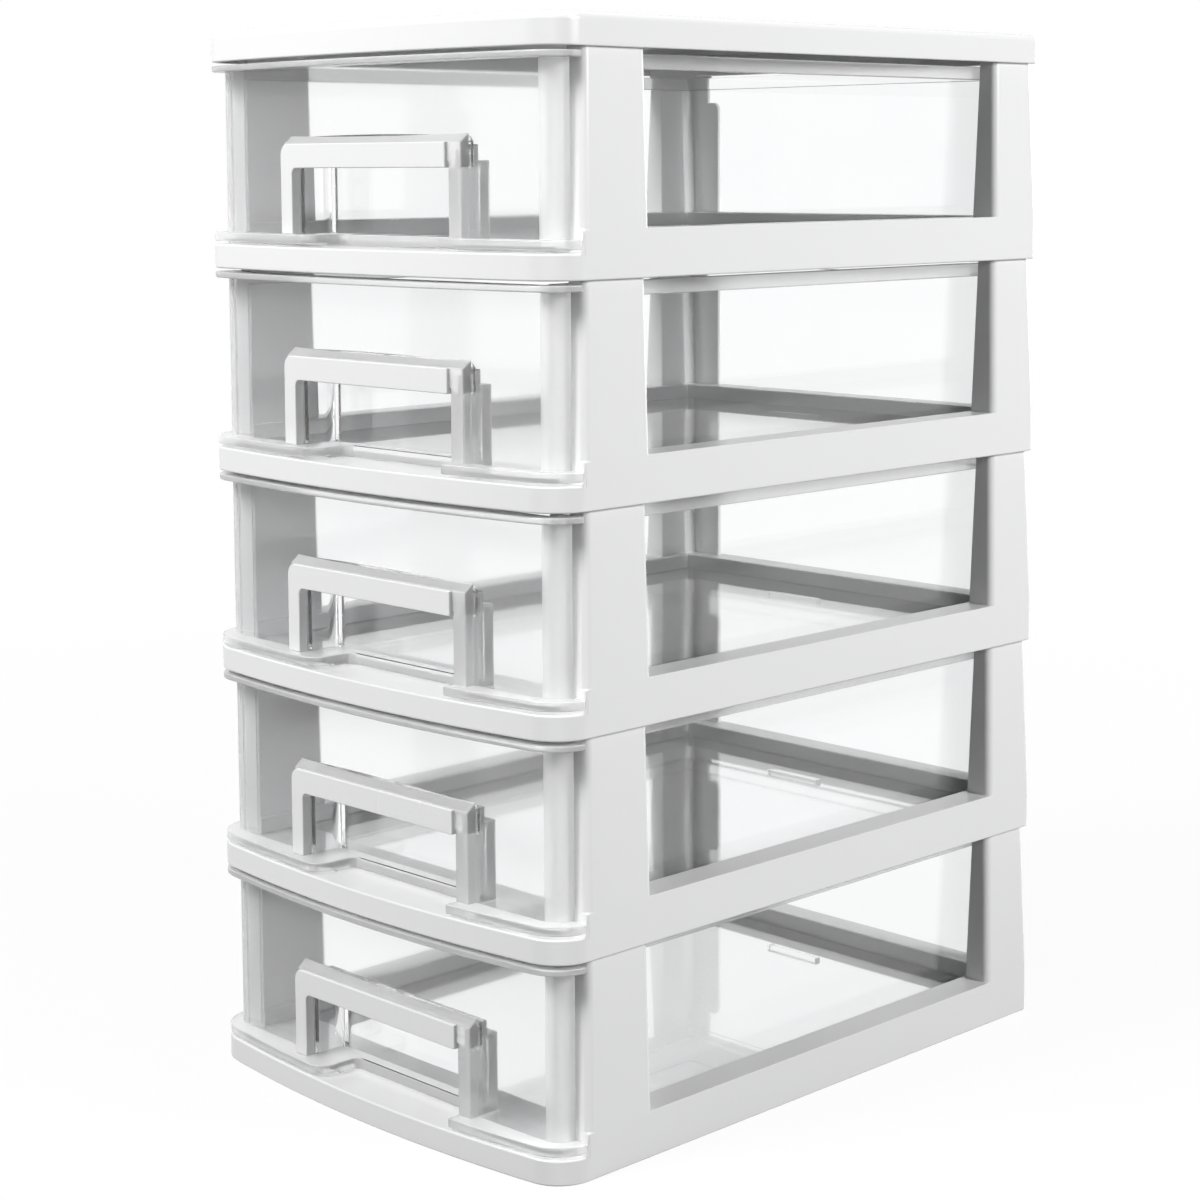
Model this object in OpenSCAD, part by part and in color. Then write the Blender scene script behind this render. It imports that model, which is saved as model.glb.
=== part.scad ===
// Plastic drawer tower: five stacked tier frames with a bowed front, a top cover,
// and five clear drawers, each with a white grip trim on its finger arch.
// Millimetres. +Z is up, the drawers open towards -Y, the origin is the middle of the base.

/* [Tower] */
// Width over the tiers
tower_w = 172; // [150:1:220]
// Depth from the crown of the front lip to the back
tower_d = 240; // [200:1:320]
// Height of one tier
tier_h = 68; // [62:1:90]
// Height of the top cover
cover_h = 10; // [8:0.5:16]
// How far the crown of the front lies ahead of its ends
front_bow = 7; // [3:0.5:10]
// Radius of the front corners
front_r = 13; // [9:0.5:16]
// Radius of the back corners
back_r = 2.5; // [2:0.5:5]
// Radius of the top edge of the cover
cover_edge_r = 2.5; // [1:0.5:4]

/* [Tier frame] */
// Thickness of the moulded outer walls
frame_wall = 1.5; // [1.2:0.1:1.7]
// Thickness of the decks
deck_t = 1.8; // [1.4:0.1:2.4]
// Height of the side and back rails
rail_h = 15; // [13:0.5:18]
// Height of the front lip
lip_h = 8; // [7:0.5:10]
// Width of the side rails with the low ledges beside them that the drawer slides on
sill_w = 14.5; // [13:0.5:18]
// Width of the back rail
back_rail_w = 10; // [9:0.5:16]
// Depth of the low deck behind the crown of the front lip
low_deck_d = 35.5; // [30:0.5:42]
// How far the posts stand behind the crown of the front lip
post_setback = 18; // [16:0.5:22]
// Front post, front to back
front_post_d = 28; // [22:1:36]
// Back post, front to back
back_post_d = 24; // [20:1:36]
// Post thickness across the tower at its foot
post_t = 10; // [9:0.5:12]
// Wall of the hollow posts
post_wall = 1.8; // [1.4:0.1:2.2]
// How far the outer faces of a post draw in towards its top
post_draft = 1.7; // [1.7:0.1:2]
// How far the inner faces of a post draw back towards its top
post_inner_draft = 1.4; // [0:0.1:2]
// How far a post reaches up inside the next tier
plug_h = 5; // [3:0.5:6]
// How far the back posts run on inwards along the back
return_w = 12.4; // [6:0.2:16]
// How much narrower that return is at its neck
neck_step = 5.4; // [3:0.2:6]
// Height of the neck
neck_h = 10.5; // [6:0.5:16]
// Radius of the shoulder below the neck
shoulder_r = 3; // [1:0.5:3]

/* [Drawer] */
// Wall of the clear drawers
drawer_wall = 1.6; // [1.2:0.1:2.2]
// Running gap between a drawer and its frame
run_gap = 0.3; // [0.2:0.05:0.6]
// Gap from a drawer side rim to the foot of the posts
side_gap = 0.6; // [0.3:0.1:1]
// Gap above the drawer front
rim_gap = 1.2; // [0.8:0.1:1.6]
// Gap below the drawer front
front_gap = 1; // [0.6:0.1:1.5]
// How far the side rim stands out from the drawer wall
side_rim_w = 1.2; // [0.8:0.1:2]
// Height of the side rim
side_rim_h = 4.6; // [3:0.2:7]
// Gap from the back of a drawer to the back rail
drawer_back_gap = 0.6; // [0.3:0.1:3]
// How far the front panel stands behind the crown of the lip
panel_setback = 8.5; // [7.5:0.5:9.5]
// Bow of the front panel
panel_bow = 2.5; // [0.5:0.5:4]
// How far the sides of the front panel stand in from the lip
panel_side_inset = 5; // [4:0.5:6]
// Radius of the front panel corners
panel_r = 6; // [3:0.5:6]
// Thickness of the rim along the top of the drawer front
rim_t = 2; // [1.5:0.1:3]
// Thickness of the flange along the bottom of the drawer front
flange_t = 3; // [2:0.2:4]
// How far the stop lug under the drawer stands from the back of the drawer
lug_inset = 19; // [16:1:60]
// Width of the stop lug
lug_w = 24; // [12:1:60]
// Depth of the stop lug below the drawer floor
lug_h = 2.5; // [1.5:0.1:3]
// Thickness of the stop lug
lug_t = 3; // [2:0.5:5]

/* [Handle] */
// Width of the arch over the finger pocket
arch_w = 86; // [70:1:96]
// Height of the arch over the flange
arch_h = 31.4; // [26:0.1:32]
// Sideways offset of the arch from the middle
arch_shift = 3; // [-4:0.5:4]
// Height of the grip bar
bar_h = 7.8; // [6:0.2:10]
// Width of the arch legs
leg_w = 5.8; // [5:0.2:8]
// Depth of the white grip trim at its inner edge
grip_t = 3.4; // [2.5:0.1:3.6]
// Thickness of the front plate of the grip
plate_t = 1.4; // [1.2:0.1:2]
// Width of the inner edge of the grip
inner_edge_w = 1.6; // [1.2:0.1:2]
// How far the front of the grip stands behind the crown of the lip
grip_setback = 4.5; // [4:0.1:5]
// Outer corner radius of the grip
grip_r = 3.5; // [1:0.5:5]
// Inner corner radius of the grip
grip_inner_r = 2; // [0.5:0.5:4]
// Fall of the clear hood from the panel to the grip
hood_fall = 2.6; // [0.5:0.1:3]
// Depth of the finger pocket behind the panel
pocket_d = 10.4; // [9:0.1:12]
// Radius of the back corners of the finger pocket
pocket_r = 4; // [2:0.5:6]
// Thickness of the roof of the finger pocket
roof_t = 2.2; // [1.4:0.1:3]
// Depth of the clear bar behind the panel
bar_back_d = 2; // [1:0.1:3]
// Depth of the space behind the bar
hook_d = 4; // [3:0.1:5]
// How far that space rises over the bottom of the bar
hook_h = 5.4; // [3:0.1:6]
// How far the flange runs on beside the left leg
foot_w = 12.2; // [8:0.1:16]
// Front corner radius where the flange ends there
foot_r = 6; // [3:0.5:7]
// Radius where the cut in the flange turns along the pocket
notch_r = 3; // [1:0.5:5]
// Depth of the cut in the flange from the crown of the lip
notch_d = 16.2; // [14:0.1:17]
// Diameter of the snap pegs behind the grip
peg_d = 2; // [1.6:0.1:2.4]
// Length of the snap pegs
peg_l = 3.4; // [1:0.1:3.6]
// Gap around and ahead of a peg in its hole
peg_gap = 0.15; // [0.1:0.05:0.3]
// Height of the lowest peg over the foot of the leg
peg_foot = 3.2; // [2:0.1:5]
// Distance between the lower pegs
peg_step = 4.2; // [3.5:0.1:6]

/* [Hidden] */
tiers = 5;
half_w = tower_w / 2;
crown_y = -tower_d / 2;
back_y = tower_d / 2;
post_front_y = crown_y + post_setback;
low_deck_back_y = crown_y + low_deck_d;
bow_steps = 24;
corner_steps = 8;
eps = 0.01;
lap = 3;

// drawer places, in the drawer's own tier
floor_z = lip_h + run_gap;
floor_top = floor_z + drawer_wall;
rim_top = tier_h - rim_gap;
flange_z = lip_h + front_gap;
box_w = 2 * (half_w - post_t - side_gap - side_rim_w);
rail_in_x = box_w / 2 + run_gap;
box_back = back_y - back_rail_w - drawer_back_gap;
front_end_y = post_front_y - run_gap;
panel_y = crown_y + panel_setback;
panel_half_w = half_w - panel_side_inset;

// arch, pocket and grip places, in the drawer's own tier
arch_z = flange_z + flange_t;
arch_left = arch_shift - arch_w / 2;
arch_right = arch_shift + arch_w / 2;
arch_top = arch_z + arch_h;
bar_top = arch_top - hood_fall;
bar_bottom = bar_top - bar_h;
grip_y = crown_y + grip_setback;
grip_back_y = grip_y + grip_t;
plate_back_y = grip_y + plate_t;
leg_in_x = arch_left + leg_w;
bar_end_x = arch_right - leg_w;
panel_back_y = panel_y + drawer_wall;
pocket_back_y = panel_back_y + pocket_d;
hook_front_y = panel_back_y + bar_back_d;
hook_back_y = hook_front_y + hook_d;
hook_top = bar_bottom + hook_h;
foot_x = leg_in_x + foot_w;
foot_front_y = crown_y + front_bow * pow((foot_x - foot_r) / half_w, 2);
notch_back_y = crown_y + notch_d;
leg_peg_x = arch_left + (leg_w - inner_edge_w) / 2;
bar_peg_z = (bar_top + bar_bottom + inner_edge_w) / 2;

white = [0.93, 0.93, 0.92];
clear_plastic = [0.82, 0.85, 0.87, 0.45];

// Outline with a bowed front, rounded front corners and tighter back corners.
// The front is a shallow parabola that each corner arc meets on its tangent.
function bowed_outline(half, crown, bow, r_front, y_back, r_back) =
    let (k = bow / (half_w * half_w),
         lean = atan(2 * k * (half - r_front)),
         x_join = half - r_front + r_front * sin(lean),
         y_join = crown + k * x_join * x_join,
         cy = y_join + r_front * cos(lean),
         bow_line = [for (i = [0:bow_steps])
             let (x = -x_join + 2 * x_join * i / bow_steps) [x, crown + k * x * x]],
         right_arc = [for (i = [1:corner_steps])
             let (a = -90 + lean + (90 - lean) * i / corner_steps)
             [half - r_front + r_front * cos(a), cy + r_front * sin(a)]],
         back_right = [for (i = [0:corner_steps])
             let (a = 90 * i / corner_steps)
             [half - r_back + r_back * cos(a), y_back - r_back + r_back * sin(a)]],
         back_left = [for (p = [corner_steps:-1:0]) [-back_right[p][0], back_right[p][1]]],
         left_arc = [for (p = [corner_steps - 1:-1:0]) [-right_arc[p][0], right_arc[p][1]]])
    concat(bow_line, right_arc, back_right, back_left, left_arc);

module lip_outline(inset = 0) {
    polygon(bowed_outline(half_w - inset, crown_y + inset, front_bow, front_r - inset,
                          back_y - inset, back_r - min(inset, back_r - 0.5)));
}

module block(x0, x1, y0, y1, z0, z1) {
    translate([x0, y0, z0])
        cube([x1 - x0, y1 - y0, z1 - z0]);
}

// Rectangle whose two corners on the x1 side are rounded, as a list of points
function post_plan(x0, x1, y0, y1, r) = concat(
    [[x0, y0]],
    [for (i = [0:corner_steps])
        let (a = -90 + 90 * i / corner_steps) [x1 - r + r * cos(a), y0 + r + r * sin(a)]],
    [for (i = [0:corner_steps])
        let (a = 90 * i / corner_steps) [x1 - r + r * cos(a), y1 - r + r * sin(a)]],
    [[x0, y1]]);

// Solid between two outlines of as many points, at heights z0 and z1
module drafted(lower, upper, z0, z1) {
    n = len(lower);
    polyhedron(
        points = concat([for (p = lower) [p[0], p[1], z0]], [for (p = upper) [p[0], p[1], z1]]),
        faces = concat(
            [[for (i = [0:n - 1]) i]],
            [[for (i = [n - 1:-1:0]) n + i]],
            [for (i = [0:n - 1]) [i, n + i, (i + 1) % n]],
            [for (i = [0:n - 1]) [(i + 1) % n, n + i, n + (i + 1) % n]]));
}

// One hollow post on the +X side. Its outer faces draw in towards the top, and the
// plain top end plugs into the tier above.
module post(y0, y1, front_draft, back_draft) {
    foot_in = half_w - post_t;
    top_in = foot_in + post_inner_draft;
    top_out = half_w - post_draft;
    top_plan = post_plan(top_in, top_out, y0 + front_draft, y1 - back_draft, back_r);
    difference() {
        union() {
            drafted(post_plan(foot_in, half_w, y0, y1, back_r), top_plan, rail_h, tier_h);
            translate([0, 0, tier_h])
                linear_extrude(plug_h)
                    polygon(top_plan);
        }
        block(top_in + post_wall, top_out - post_wall,
              y0 + front_draft + post_wall, y1 - back_draft - post_wall,
              rail_h, tier_h + plug_h + 1);
    }
}

// Return of a back post on the +X side: a thin wall along the back, narrower at its neck
module back_return() {
    root_x = half_w - post_t + post_inner_draft + post_wall / 2;
    inner_x = half_w - post_t - return_w;
    neck_z = tier_h - neck_h;
    translate([0, back_y - post_draft, 0])
        rotate([90, 0, 0])
            linear_extrude(post_wall)
                polygon(concat(
                    [[root_x, rail_h - eps], [inner_x, rail_h - eps]],
                    [for (i = [0:corner_steps])
                        let (a = 180 - 90 * i / corner_steps)
                        [inner_x + shoulder_r + shoulder_r * cos(a),
                         neck_z - shoulder_r + shoulder_r * sin(a)]],
                    [[inner_x + neck_step, neck_z], [inner_x + neck_step, tier_h],
                     [root_x, tier_h]]));
}

module both_sides() {
    children();
    mirror([1, 0, 0])
        children();
}

// Space under the rails and the lip that the tier below plugs into
module underside_hollow() {
    inner_half = half_w - sill_w;
    rail_in = rail_h - deck_t;
    difference() {
        union() {
            translate([0, 0, -1])
                linear_extrude(lip_h - frame_wall + 1)
                    lip_outline(frame_wall);
            both_sides()
                block(rail_in_x + frame_wall, half_w - frame_wall,
                      post_front_y + frame_wall, back_y - frame_wall - back_r, -1, rail_in);
            block(-inner_half - lap, inner_half + lap, back_y - back_rail_w + frame_wall,
                  back_y - frame_wall, -1, rail_in);
        }
        block(-inner_half - frame_wall, inner_half + frame_wall,
              low_deck_back_y - frame_wall, back_y - back_rail_w + frame_wall, -2, rail_h);
        both_sides()
            post_pads();
    }
}

// Blocks under the posts, where the plugs of the tier below bear
module post_pads() {
    block(half_w - sill_w, half_w, post_front_y, post_front_y + front_post_d, plug_h, rail_h);
    block(half_w - sill_w, half_w, back_y - back_post_d, back_y, plug_h, rail_h);
}

module tier_frame(number) {
    color(white)
        translate([0, 0, (number - 1) * tier_h])
            difference() {
                union() {
                    linear_extrude(lip_h)
                        lip_outline();
                    linear_extrude(rail_h)
                        intersection() {
                            lip_outline();
                            translate([-half_w, post_front_y])
                                square([tower_w, back_y - post_front_y]);
                        }
                    both_sides() {
                        post(post_front_y, post_front_y + front_post_d, post_draft, 0);
                        post(back_y - back_post_d, back_y, post_inner_draft, post_draft);
                        back_return();
                    }
                }
                underside_hollow();
                // open floor, and the space between the rails that the drawer slides in
                block(-half_w + sill_w, half_w - sill_w,
                      low_deck_back_y, back_y - back_rail_w, -1, lip_h + 1);
                block(-rail_in_x, rail_in_x, post_front_y - 1, back_y - back_rail_w,
                      lip_h, rail_h + 1);
            }
}

module top_cover() {
    color(white)
        translate([0, 0, tiers * tier_h])
            difference() {
                hull() {
                    linear_extrude(cover_h - cover_edge_r)
                        lip_outline();
                    for (a = [30, 60, 90])
                        translate([0, 0, cover_h - cover_edge_r])
                            linear_extrude(cover_edge_r * sin(a))
                                lip_outline(cover_edge_r * (1 - cos(a)));
                }
                difference() {
                    translate([0, 0, -1])
                        linear_extrude(cover_h - deck_t + 1)
                            lip_outline(frame_wall);
                    both_sides()
                        intersection() {
                            post_pads();
                            block(0, half_w, crown_y, back_y, plug_h, cover_h);
                        }
                }
            }
}

module panel_outline(inset = 0) {
    polygon(bowed_outline(panel_half_w - inset, panel_y + inset, panel_bow,
                          max(panel_r - inset, 1), 0, 1));
}

// Keeps what lies ahead of the posts
module ahead_of_posts(z0, z1) {
    block(-tower_w, tower_w, crown_y - 10, front_end_y, z0, z1);
}

// Solid shape of the clear moulding, before it is hollowed
module drawer_outside() {
    block(-box_w / 2, box_w / 2, front_end_y - lap, box_back, floor_z, rim_top);
    // rim that runs round the sides and the back
    block(-box_w / 2 - side_rim_w, box_w / 2 + side_rim_w, front_end_y - lap,
          box_back + side_rim_w, rim_top - side_rim_h, rim_top);
    // panel in front of the posts, with the floor behind it
    intersection() {
        translate([0, 0, floor_z])
            linear_extrude(rim_top - floor_z)
                panel_outline();
        ahead_of_posts(floor_z, rim_top);
    }
    // bowed rim and flange
    intersection() {
        union() {
            translate([0, 0, rim_top - rim_t])
                linear_extrude(rim_t)
                    lip_outline();
            translate([0, 0, flange_z])
                linear_extrude(flange_t)
                    lip_outline();
        }
        ahead_of_posts(flange_z, rim_top);
    }
    // stop lug under the floor
    block(-lug_w / 2, lug_w / 2, box_back - lug_inset - lug_t, box_back - lug_inset,
          floor_z - lug_h, floor_z + eps);
}

// The open inside of the drawer, behind its panel and between its walls
module drawer_inside() {
    block(-box_w / 2 + drawer_wall, box_w / 2 - drawer_wall, front_end_y - lap,
          box_back - drawer_wall, floor_top, rim_top + 1);
    intersection() {
        translate([0, 0, floor_top])
            linear_extrude(tier_h)
                panel_outline(drawer_wall);
        block(-tower_w, tower_w, crown_y, front_end_y - drawer_wall, floor_top, rim_top + 1);
    }
}

// Clear bar and the hood that rises from its front to the panel, drawn as (y, z)
module hood() {
    translate([arch_left, 0, 0])
        rotate([90, 0, 90])
            linear_extrude(arch_w)
                polygon([[plate_back_y, bar_bottom], [plate_back_y, bar_top],
                         [panel_back_y - drawer_wall / 2, arch_top], [panel_back_y, arch_top],
                         [hook_front_y, bar_top], [hook_front_y, bar_bottom]]);
}

// Clear arch: the bar with its hood, two legs, and the walls around the finger pocket
module arch_solid() {
    hood();
    block(arch_left, leg_in_x, plate_back_y, panel_back_y, arch_z - eps, bar_bottom + eps);
    block(bar_end_x, arch_right, plate_back_y, panel_back_y, arch_z - eps, bar_bottom + eps);
    block(leg_in_x - drawer_wall, bar_end_x + drawer_wall, panel_back_y - eps,
          pocket_back_y + drawer_wall, flange_z, bar_bottom + roof_t);
    block(leg_in_x - drawer_wall, bar_end_x + drawer_wall, panel_back_y - eps,
          hook_back_y + drawer_wall, bar_bottom, hook_top + drawer_wall);
}

// Plan of the finger pocket, with rounded back corners
module pocket_outline() {
    polygon(concat(
        [[leg_in_x, crown_y - 1], [bar_end_x, crown_y - 1]],
        [for (i = [0:corner_steps])
            let (a = 90 * i / corner_steps)
            [bar_end_x - pocket_r + pocket_r * cos(a), pocket_back_y - pocket_r + pocket_r * sin(a)]],
        [for (i = [0:corner_steps])
            let (a = 90 + 90 * i / corner_steps)
            [leg_in_x + pocket_r + pocket_r * cos(a), pocket_back_y - pocket_r + pocket_r * sin(a)]]));
}

// Plan of the cut in the flange between the legs
module notch_outline() {
    polygon(concat(
        [[foot_x - foot_r, crown_y - 1], [bar_end_x, crown_y - 1], [bar_end_x, notch_back_y]],
        [for (i = [0:corner_steps])
            let (a = 90 + 90 * i / corner_steps)
            [foot_x + notch_r + notch_r * cos(a), notch_back_y - notch_r + notch_r * sin(a)]],
        [for (i = [0:corner_steps])
            let (a = -90 * i / corner_steps)
            [foot_x - foot_r + foot_r * cos(a), foot_front_y + foot_r + foot_r * sin(a)]]));
}

// Finger pocket, the space behind the bar, the cut in the flange and the seat of the grip
module finger_space() {
    translate([0, 0, arch_z])
        linear_extrude(bar_bottom - arch_z)
            pocket_outline();
    block(leg_in_x, bar_end_x, hook_front_y, hook_back_y, bar_bottom - eps, hook_top);
    translate([0, 0, floor_z - 1])
        linear_extrude(arch_z - floor_z + 1 + eps)
            notch_outline();
    block(leg_in_x - inner_edge_w, bar_end_x, plate_back_y - 1, grip_back_y,
          arch_z, bar_bottom + inner_edge_w);
}

// Middles of the snap pegs, as (x, z): three down the leg and two along the bar
peg_places = [
    [leg_peg_x, arch_z + peg_foot],
    [leg_peg_x, arch_z + peg_foot + peg_step],
    [leg_peg_x, bar_bottom - peg_step],
    [arch_shift, bar_peg_z],
    [bar_end_x - 2 * peg_step, bar_peg_z]
];

module pegs(d, l) {
    for (p = peg_places)
        translate([p[0], plate_back_y - eps, p[1]])
            rotate([-90, 0, 0])
                cylinder(d = d, h = l + eps, $fn = 40);
}

module drawer(number) {
    color(clear_plastic)
        translate([0, 0, (number - 1) * tier_h])
            difference() {
                union() {
                    difference() {
                        drawer_outside();
                        drawer_inside();
                    }
                    arch_solid();
                }
                finger_space();
                pegs(peg_d + 2 * peg_gap, peg_l + peg_gap);
            }
}

// White trim: a plate shaped as a bar with one leg down its left side, a deeper inner
// edge around the finger pocket, and the pegs that hold it on the arch
module grip(number) {
    outer_arc = [for (i = [0:corner_steps])
        let (a = 180 - 90 * i / corner_steps)
        [arch_left + grip_r + grip_r * cos(a), bar_top - grip_r + grip_r * sin(a)]];
    inner_side = concat(
        [[bar_end_x, bar_bottom]],
        [for (i = [0:corner_steps])
            let (a = 90 + 90 * i / corner_steps)
            [leg_in_x + grip_inner_r + grip_inner_r * cos(a),
             bar_bottom - grip_inner_r + grip_inner_r * sin(a)]],
        [[leg_in_x, arch_z]]);
    edge_x = leg_in_x - inner_edge_w;
    edge_z = bar_bottom + inner_edge_w;
    color(white)
        translate([0, 0, (number - 1) * tier_h]) {
            translate([0, plate_back_y, 0])
                rotate([90, 0, 0])
                    linear_extrude(plate_t)
                        polygon(concat([[arch_left, arch_z]], outer_arc, [[bar_end_x, bar_top]],
                                       inner_side));
            translate([0, grip_back_y, 0])
                rotate([90, 0, 0])
                    linear_extrude(grip_t - plate_t + eps)
                        polygon(concat([[edge_x, arch_z], [edge_x, edge_z], [bar_end_x, edge_z]],
                                       inner_side));
            pegs(peg_d, peg_l);
        }
}

top_cover();
tier_frame(1);  // frame_1
tier_frame(2);  // frame_2
tier_frame(3);  // frame_3
tier_frame(4);  // frame_4
tier_frame(5);  // frame_5
drawer(1);  // drawer_1
drawer(2);  // drawer_2
drawer(3);  // drawer_3
drawer(4);  // drawer_4
drawer(5);  // drawer_5
grip(1);  // grip_1
grip(2);  // grip_2
grip(3);  // grip_3
grip(4);  // grip_4
grip(5);  // grip_5
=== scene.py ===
import bmesh
import bpy
import numpy as np
from mathutils import Matrix, Vector


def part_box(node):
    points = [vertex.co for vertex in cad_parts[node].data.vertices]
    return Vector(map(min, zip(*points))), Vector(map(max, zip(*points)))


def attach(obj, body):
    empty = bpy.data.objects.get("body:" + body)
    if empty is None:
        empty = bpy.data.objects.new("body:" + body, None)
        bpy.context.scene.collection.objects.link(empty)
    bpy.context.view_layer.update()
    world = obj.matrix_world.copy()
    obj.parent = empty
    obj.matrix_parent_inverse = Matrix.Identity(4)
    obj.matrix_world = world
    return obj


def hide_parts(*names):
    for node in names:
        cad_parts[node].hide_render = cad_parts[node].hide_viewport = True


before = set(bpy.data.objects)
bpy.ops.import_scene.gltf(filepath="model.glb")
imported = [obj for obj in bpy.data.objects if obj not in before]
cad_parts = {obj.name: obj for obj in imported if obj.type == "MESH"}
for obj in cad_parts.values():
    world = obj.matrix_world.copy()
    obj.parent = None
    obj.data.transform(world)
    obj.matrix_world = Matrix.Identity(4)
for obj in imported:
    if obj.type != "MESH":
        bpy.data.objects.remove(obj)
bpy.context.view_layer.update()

# The five white tier frames. Each is one injection moulding of polypropylene: a bowed front
# lip, side rails with a flat sill, a back rail and four hollow posts whose tops plug into
# the tier above. The edges are broken by a small radius, and the faces have a satin gloss.
TIERS = 5
TIER_H = 0.068
FRAME_EDGE_R = 0.0006
WELD = 0.00025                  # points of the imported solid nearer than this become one
FLAT = 0.002                    # faces that turn by less than this, in radians, are joined
SHARP = 0.5                     # edges that turn by more than this, in radians, are rounded
SAME_CURVE = 0.6                # faces that turn by less than this are shaded as one curve
EDGE_STEPS = 3                  # faces across a rounded edge
SKIN_DEPTH = 0.00002            # depth of the texture that the mould leaves on the plastic


def steady_normals(mesh):
    """Corner normals that keep flat faces flat and arcs round.

    A corner's normal is the sum of the normals of the faces round its vertex that turn less
    than SAME_CURVE away from its own face, each times the square of that face's area."""
    faces, corners = len(mesh.polygons), len(mesh.loops)
    sides, area = np.empty(faces, dtype=np.int32), np.empty(faces)
    normal, vertex = np.empty(faces * 3), np.empty(corners, dtype=np.int32)
    mesh.polygons.foreach_get("loop_total", sides)
    mesh.polygons.foreach_get("area", area)
    mesh.polygons.foreach_get("normal", normal)
    mesh.loops.foreach_get("vertex_index", vertex)
    face = np.repeat(np.arange(faces), sides)
    own = normal.reshape(-1, 3)[face]
    pull = own * (area[face] ** 2)[:, None]
    total = pull.copy()
    order = np.argsort(vertex, kind="stable")
    for step in range(1, int(np.bincount(vertex).max())):
        one, other = order[:-step], order[step:]
        alike = (own[one] * own[other]).sum(1) > np.cos(SAME_CURVE)
        near = (vertex[one] == vertex[other]) & alike
        one, other = one[near], other[near]
        np.add.at(total, one, pull[other])
        np.add.at(total, other, pull[one])
    mesh.polygons.foreach_set("use_smooth", np.ones(faces, dtype=bool))
    mesh.normals_split_custom_set(total / np.linalg.norm(total, axis=1)[:, None])


def softened(node, name, radius):
    """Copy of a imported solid, welded, with its flat faces joined and its outward edges rounded.

    Every outward edge whose faces turn by more than SHARP becomes an arc of that radius. No
    point leaves the box of the solid."""
    low, high = (np.array(corner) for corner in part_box(node))
    bm = bmesh.new()
    bm.from_mesh(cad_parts[node].data)
    bmesh.ops.remove_doubles(bm, verts=bm.verts, dist=WELD)
    bmesh.ops.dissolve_limit(bm, angle_limit=FLAT, verts=bm.verts, edges=bm.edges)
    outward = [edge for edge in bm.edges if edge.is_convex and edge.calc_face_angle(0.0) > SHARP]
    bmesh.ops.bevel(bm, geom=outward, offset=radius, offset_type="OFFSET", segments=EDGE_STEPS,
                    profile=0.5, affect="EDGES", clamp_overlap=False)
    mesh = bpy.data.meshes.new(name)
    bm.to_mesh(mesh)
    bm.free()
    points = np.empty(len(mesh.vertices) * 3)
    mesh.vertices.foreach_get("co", points)
    mesh.vertices.foreach_set("co", np.clip(points.reshape(-1, 3), low, high).ravel())
    mesh.update()
    steady_normals(mesh)
    piece = bpy.data.objects.new(name, mesh)
    bpy.context.scene.collection.objects.link(piece)
    return piece


class Sock:
    """A shader socket that takes part in Python arithmetic; each operator adds a Math node."""

    def __init__(self, tree, out):
        self.tree, self.out = tree, out

    def node(self, kind, settings, inputs, out=0):
        """New node of a kind, with its settings first and then its sockets' values or links."""
        made = self.tree.nodes.new(kind)
        for key, value in settings.items():
            setattr(made, key, value)
        for key, value in inputs.items():
            if isinstance(value, Sock):
                self.tree.links.new(value.out, made.inputs[key])
            else:
                made.inputs[key].default_value = value
        return Sock(self.tree, made.outputs[out])

    def math(self, operation, a, b):
        return self.node("ShaderNodeMath", {"operation": operation}, {0: a, 1: b})

    def __add__(self, other):
        return self.math("ADD", self, other)

    def __radd__(self, other):
        return self.math("ADD", other, self)

    def __mul__(self, other):
        return self.math("MULTIPLY", self, other)

    def __rmul__(self, other):
        return self.math("MULTIPLY", other, self)


def new_material(name):
    """Empty node material: its output node, and the Object coordinates as a Sock."""
    material = bpy.data.materials.new(name)
    material.use_nodes = True
    tree = material.node_tree
    tree.nodes.clear()
    output = tree.nodes.new("ShaderNodeOutputMaterial")
    place = Sock(tree, tree.nodes.new("ShaderNodeTexCoord").outputs["Object"])
    return material, output, place


def moulded_white(name, shade, roughness):
    """Satin white polypropylene: faint flow marks in its colour and gloss, fine skin texture."""
    material, output, place = new_material(name)
    flow = place.node("ShaderNodeTexNoise", {}, {"Vector": place, "Scale": 14.0, "Detail": 3.0})
    skin = place.node("ShaderNodeTexNoise", {}, {"Vector": place, "Scale": 1600.0, "Detail": 2.0})
    colour = place.node("ShaderNodeMix", {"data_type": "RGBA"},
                        {0: flow, 6: (shade, shade, shade, 1.0),
                         7: (shade * 0.975, shade * 0.978, shade * 0.98, 1.0)}, out=2)
    bump = place.node("ShaderNodeBump", {},
                      {"Strength": 0.25, "Distance": SKIN_DEPTH, "Height": skin})
    plastic = place.node("ShaderNodeBsdfPrincipled", {},
                         {"Base Color": colour, "Roughness": roughness + 0.08 * flow,
                          "Normal": bump, "IOR": 1.49})
    material.node_tree.links.new(plastic.out, output.inputs["Surface"])
    return material


white_plastic = moulded_white("white_plastic", 0.86, 0.2)
for tier in range(1, TIERS + 1):
    piece = softened(f"frame_{tier}", f"tier_frame_{tier}", FRAME_EDGE_R)
    piece.data.materials.clear()
    piece.data.materials.append(white_plastic)
    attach(piece, "root")
    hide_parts(f"frame_{tier}")

# The top cover: the same white polypropylene, a flat lid with a bowed front and a rounded
# top edge, hollow beneath, that plugs onto the posts of the top frame.
COVER_EDGE_R = 0.0005
lid = softened("top_cover", "cover", COVER_EDGE_R)
lid.data.materials.clear()
lid.data.materials.append(white_plastic)
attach(lid, "root")
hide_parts("top_cover")

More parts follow.
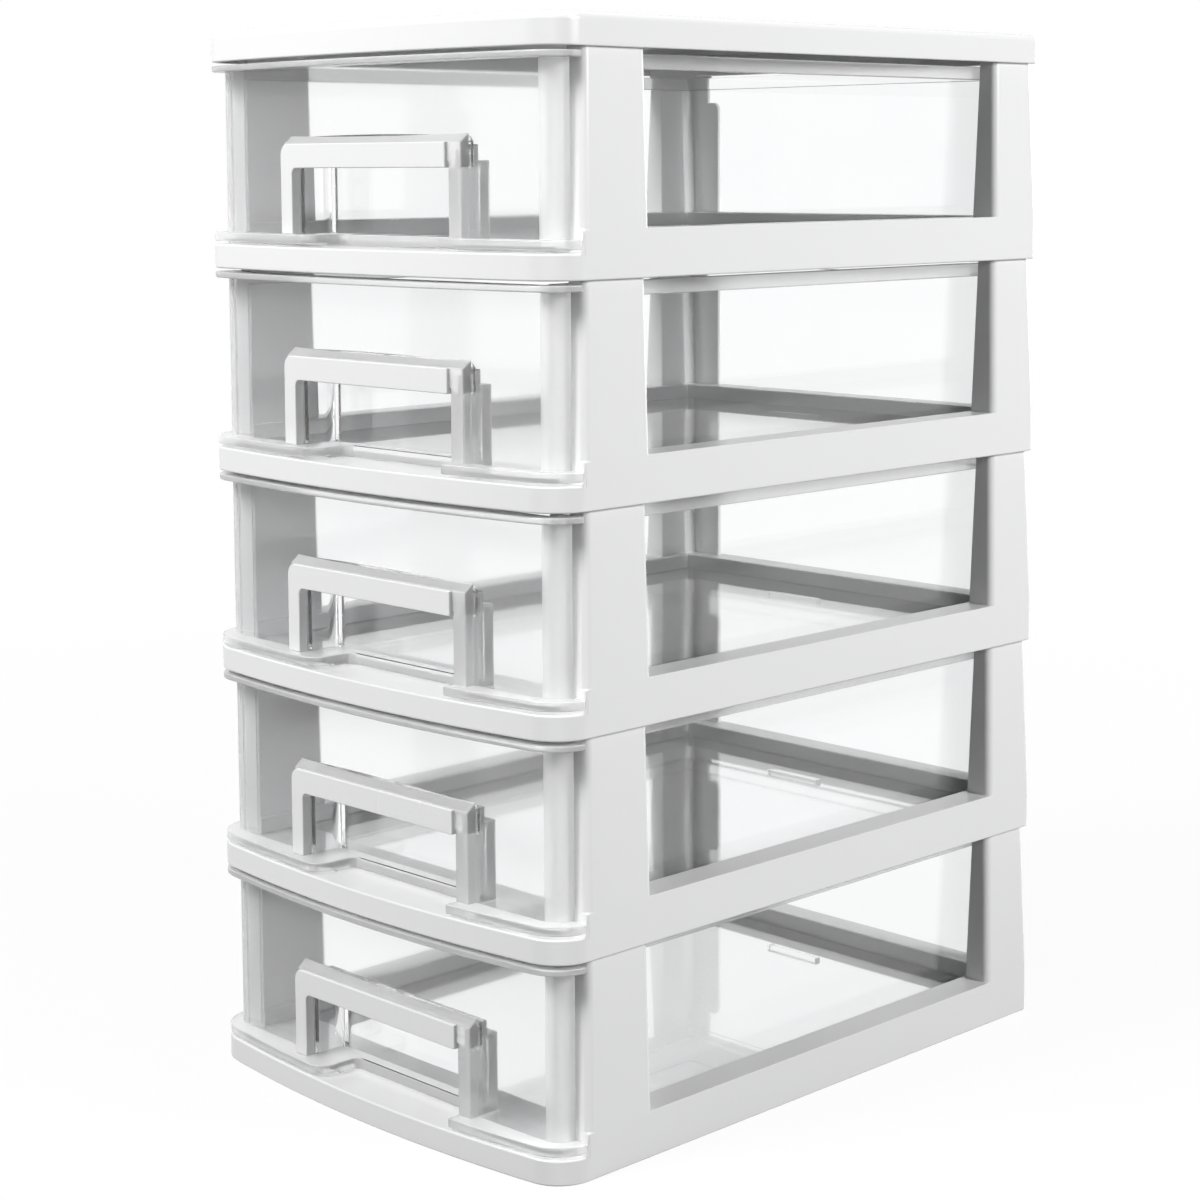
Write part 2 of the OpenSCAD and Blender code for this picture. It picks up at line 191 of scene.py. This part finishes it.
# The clear drawers: one polystyrene moulding each, with a thin bowed rim, a flange, a
# finger pocket and a hooded arch. The walls are polished; rims, flange and arch are frosted.
DRAWER_EDGE_R = 0.0004
FRONT_Y = -0.1003               # the drawer front, ahead of the posts
PANEL_BACK_Y = -0.1097          # back of the front panel
HOOD_Y = -0.1112                # the arch and its hood, ahead of the panel
POCKET_BACK_Y = -0.0977         # back of the finger pocket's walls
FLANGE_BACK_Y, FLANGE_TOP = -0.1037, 0.0123
ARCH_LEFT, ARCH_RIGHT, ARCH_TOP = -0.0405, 0.0465, 0.0437
POCKET_LEFT, POCKET_RIGHT, POCKET_TOP = -0.0362, 0.0395, 0.0328
POCKET_WALL_RIGHT, POCKET_ROOF_TOP = 0.0425, 0.0355
RIM_BOTTOM, CORNER_X = 0.0645, 0.0738
SIDE_RIM_BOTTOM, SIDE_RIM_X = 0.062, 0.0744
UNDERSIDE_Z = 0.0086            # the underside of the drawer floor lies below this
FACING_DOWN = -0.7              # Z of the normal of a face that points down


def clear_polymer(name, shade, through, roughness, shadow, milk):
    """Plastic that bends light: its shade, the share that goes through, its blur, the share of
    a lamp's light that each wall lets on, and how much light spreads inside it."""
    material, output, place = new_material(name)
    flow = place.node("ShaderNodeTexNoise", {}, {"Vector": place, "Scale": 22.0, "Detail": 2.0})
    bump = place.node("ShaderNodeBump", {},
                      {"Strength": 0.2, "Distance": SKIN_DEPTH, "Height": flow})
    colour = place.node("ShaderNodeMix", {"data_type": "RGBA"},
                        {0: flow, 6: (shade, shade, shade, 1.0),
                         7: (shade * 0.975, shade * 0.98, shade * 0.985, 1.0)}, out=2)
    plastic = place.node("ShaderNodeBsdfPrincipled", {},
                         {"Base Color": colour, "Roughness": roughness * (0.8 + 0.4 * flow),
                          "Normal": bump, "IOR": 1.5, "Transmission Weight": through,
                          "Subsurface Weight": milk, "Subsurface Radius": (1.0, 1.0, 1.0),
                          "Subsurface Scale": 0.004})
    lit = place.node("ShaderNodeBsdfTransparent", {}, {"Color": (shadow, shadow, shadow, 1.0)})
    lamp_ray = place.node("ShaderNodeLightPath", {}, {}, out="Is Shadow Ray")
    mixed = place.node("ShaderNodeMixShader", {}, {0: lamp_ray, 1: plastic, 2: lit})
    material.node_tree.links.new(mixed.out, output.inputs["Surface"])
    return material


clear_plastic = clear_polymer("clear_plastic", 1.0, 1.0, 0.01, 0.3, 0.0)
hazy_plastic = clear_polymer("hazy_plastic", 0.98, 0.96, 0.05, 0.6, 0.0)
frosted_plastic = clear_polymer("frosted_plastic", 0.96, 0.5, 0.18, 0.5, 0.7)


def drawer_finish(mesh, tier):
    """Gives each face its finish: 0 clear walls, 1 hazy front panel and underside of the
    floor, 2 frosted rims, flange, arch and pocket edges."""
    centre, normal = np.empty(len(mesh.polygons) * 3), np.empty(len(mesh.polygons) * 3)
    mesh.polygons.foreach_get("center", centre)
    mesh.polygons.foreach_get("normal", normal)
    x, y, z = centre.reshape(-1, 3).T
    z = z - (tier - 1) * TIER_H
    in_arch = (x > ARCH_LEFT) & (x < ARCH_RIGHT) & (z < ARCH_TOP)
    in_pocket = (x > POCKET_LEFT) & (x < POCKET_RIGHT) & (z < POCKET_TOP)
    by_pocket = (y < POCKET_BACK_Y) & (z < POCKET_ROOF_TOP)
    hazy = (y < FRONT_Y) & ~(in_pocket & (y > PANEL_BACK_Y))
    hazy |= (normal.reshape(-1, 3)[:, 2] < FACING_DOWN) & (z < UNDERSIDE_Z)
    frosted = (y < FRONT_Y) & ((z > RIM_BOTTOM) | (abs(x) > CORNER_X))
    frosted |= (abs(x) > SIDE_RIM_X) & (z > SIDE_RIM_BOTTOM)
    frosted |= (y < FLANGE_BACK_Y) & (z < FLANGE_TOP)
    frosted |= (y < HOOD_Y) & in_arch
    frosted |= by_pocket & (x > POCKET_RIGHT) & (x < POCKET_WALL_RIGHT)
    frosted |= by_pocket & (z > POCKET_TOP) & in_arch & (y > PANEL_BACK_Y)
    finish = np.where(frosted, 2, hazy.astype(int)).astype(np.int32)
    mesh.polygons.foreach_set("material_index", finish)


for tier in range(1, TIERS + 1):
    piece = softened(f"drawer_{tier}", f"clear_drawer_{tier}", DRAWER_EDGE_R)
    piece.data.materials.clear()
    for finish in (clear_plastic, hazy_plastic, frosted_plastic):
        piece.data.materials.append(finish)
    drawer_finish(piece.data, tier)
    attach(piece, f"drawer_{tier}_body")
    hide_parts(f"drawer_{tier}")

# The grips: opaque white L-shaped trims, snapped onto the left leg and the bar of each arch
# with short pegs. Their gloss is a little softer than that of the frames.
GRIP_EDGE_R = 0.0004
grip_plastic = moulded_white("grip_plastic", 0.84, 0.22)
for tier in range(1, TIERS + 1):
    piece = softened(f"grip_{tier}", f"white_grip_{tier}", GRIP_EDGE_R)
    piece.data.materials.clear()
    piece.data.materials.append(grip_plastic)
    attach(piece, f"drawer_{tier}_body")
    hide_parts(f"grip_{tier}")

# The stage: a pale floor that keeps the tower's shadow, white surroundings for what looks
# past it, a soft key light from the front left, a second one from the right, a low one from
# behind, and a small weak one from the camera's side for the glints on the clear plastic.
FLOOR_R = 3.0
NEAR, FAR = 0.15, 0.9           # distances from the middle of the floor
GLOW_NEAR, GLOW_FAR = 0.93, 1.0  # share of the floor's white there that isn't lit by lamps
floor_mesh = bpy.data.meshes.new("floor")
floor_mesh.from_pydata([(-FLOOR_R, -FLOOR_R, 0), (FLOOR_R, -FLOOR_R, 0),
                        (FLOOR_R, FLOOR_R, 0), (-FLOOR_R, FLOOR_R, 0)], [], [(0, 1, 2, 3)])
floor = bpy.data.objects.new("floor", floor_mesh)
bpy.context.scene.collection.objects.link(floor)
floor_paint, output, place = new_material("floor_paint")


def plainly_seen(tree):
    """1 where a ray reached the camera by gloss and clear plastic alone, 0 for other light."""
    path = tree.nodes.new("ShaderNodeLightPath")
    camera, glossy, through, scattered = (
        Sock(tree, path.outputs[name]) for name in
        ("Is Camera Ray", "Is Glossy Ray", "Is Transmission Ray", "Diffuse Depth"))
    near = camera + glossy + through
    return near.math("MINIMUM", near, 1.0) * near.math("LESS_THAN", scattered, 0.5)


seen = plainly_seen(floor_paint.node_tree)
away = place.node("ShaderNodeVectorMath", {"operation": "LENGTH"}, {0: place}, out=1)
glowing = place.node("ShaderNodeMapRange", {},
                     {0: away, 1: NEAR, 2: FAR, 3: GLOW_NEAR, 4: GLOW_FAR})
pale = place.node("ShaderNodeBsdfDiffuse", {}, {"Color": (0.9, 0.9, 0.9, 1.0)})
dull = place.node("ShaderNodeBsdfDiffuse", {}, {"Color": (0.2, 0.2, 0.2, 1.0)})
glow = place.node("ShaderNodeEmission", {}, {"Color": (1.0, 1.0, 1.0, 1.0), "Strength": 1.0})
white = place.node("ShaderNodeMixShader", {}, {0: glowing, 1: pale, 2: glow})
mixed = place.node("ShaderNodeMixShader", {}, {0: seen, 1: dull, 2: white})
floor_paint.node_tree.links.new(mixed.out, output.inputs["Surface"])
floor_mesh.materials.append(floor_paint)

AMBIENT = 0.02                  # strength of the surroundings as a light
world = bpy.data.worlds.new("surroundings")
bpy.context.scene.world = world
world.use_nodes = True
tree = world.node_tree
tree.nodes.clear()
output = tree.nodes.new("ShaderNodeOutputWorld")
seen = plainly_seen(tree)
background = seen.node("ShaderNodeBackground", {},
                       {"Color": (1.0, 1.0, 1.0, 1.0),
                        "Strength": AMBIENT + (1.0 - AMBIENT) * seen})
tree.links.new(background.out, output.inputs["Surface"])


def soft_light(name, place, target, size, watts):
    """Square area lamp of a size in metres at place, turned to face target."""
    lamp = bpy.data.lights.new(name, "AREA")
    lamp.shape, lamp.size, lamp.energy = "SQUARE", size, watts
    thing = bpy.data.objects.new(name, lamp)
    thing.location = place
    thing.rotation_euler = (Vector(target) - Vector(place)).to_track_quat("-Z", "Y").to_euler()
    bpy.context.scene.collection.objects.link(thing)
    thing.visible_camera = False


soft_light("key", (-0.2, -1.02, 1.08), (0, -0.1, 0.2), 0.5, 19.3)
soft_light("side", (1.28, 0.33, 0.72), (0.05, 0, 0.2), 0.5, 15.9)
soft_light("spark", (0.82, -0.86, 0.6), (0.05, -0.1, 0.25), 0.12, 0.8)
soft_light("back", (0.0, 1.4, 0.4), (0, 0.1, 0.18), 0.6, 8.0)

# The camera stands where the photographer's did: fitted to the tower's edges in the picture,
# with the lens shift of its framing.
AZIMUTH, DOWN, ROLL = np.radians((45.554, 5.804, -0.282))
EYE = (0.6148, -0.6144, 0.3058)
LENS_MM, SENSOR_MM, SHIFT_Y = 75.85, 36.0, -0.149
look = np.array((-np.sin(AZIMUTH) * np.cos(DOWN), np.cos(AZIMUTH) * np.cos(DOWN), -np.sin(DOWN)))
level = np.array((np.cos(AZIMUTH), np.sin(AZIMUTH), 0.0))
upright = np.cross(level, look)
right = level * np.cos(ROLL) + upright * np.sin(ROLL)
up = upright * np.cos(ROLL) - level * np.sin(ROLL)
camera_data = bpy.data.cameras.new("camera")
camera_data.lens, camera_data.sensor_width = LENS_MM, SENSOR_MM
camera_data.shift_y = SHIFT_Y
camera = bpy.data.objects.new("camera", camera_data)
turned = np.column_stack((right, up, -look)).tolist()
camera.matrix_world = Matrix([[*row, at] for row, at in zip(turned, EYE)] + [[0, 0, 0, 1]])
bpy.context.scene.collection.objects.link(camera)
bpy.context.scene.camera = camera
bpy.context.scene.view_settings.view_transform = "Standard"
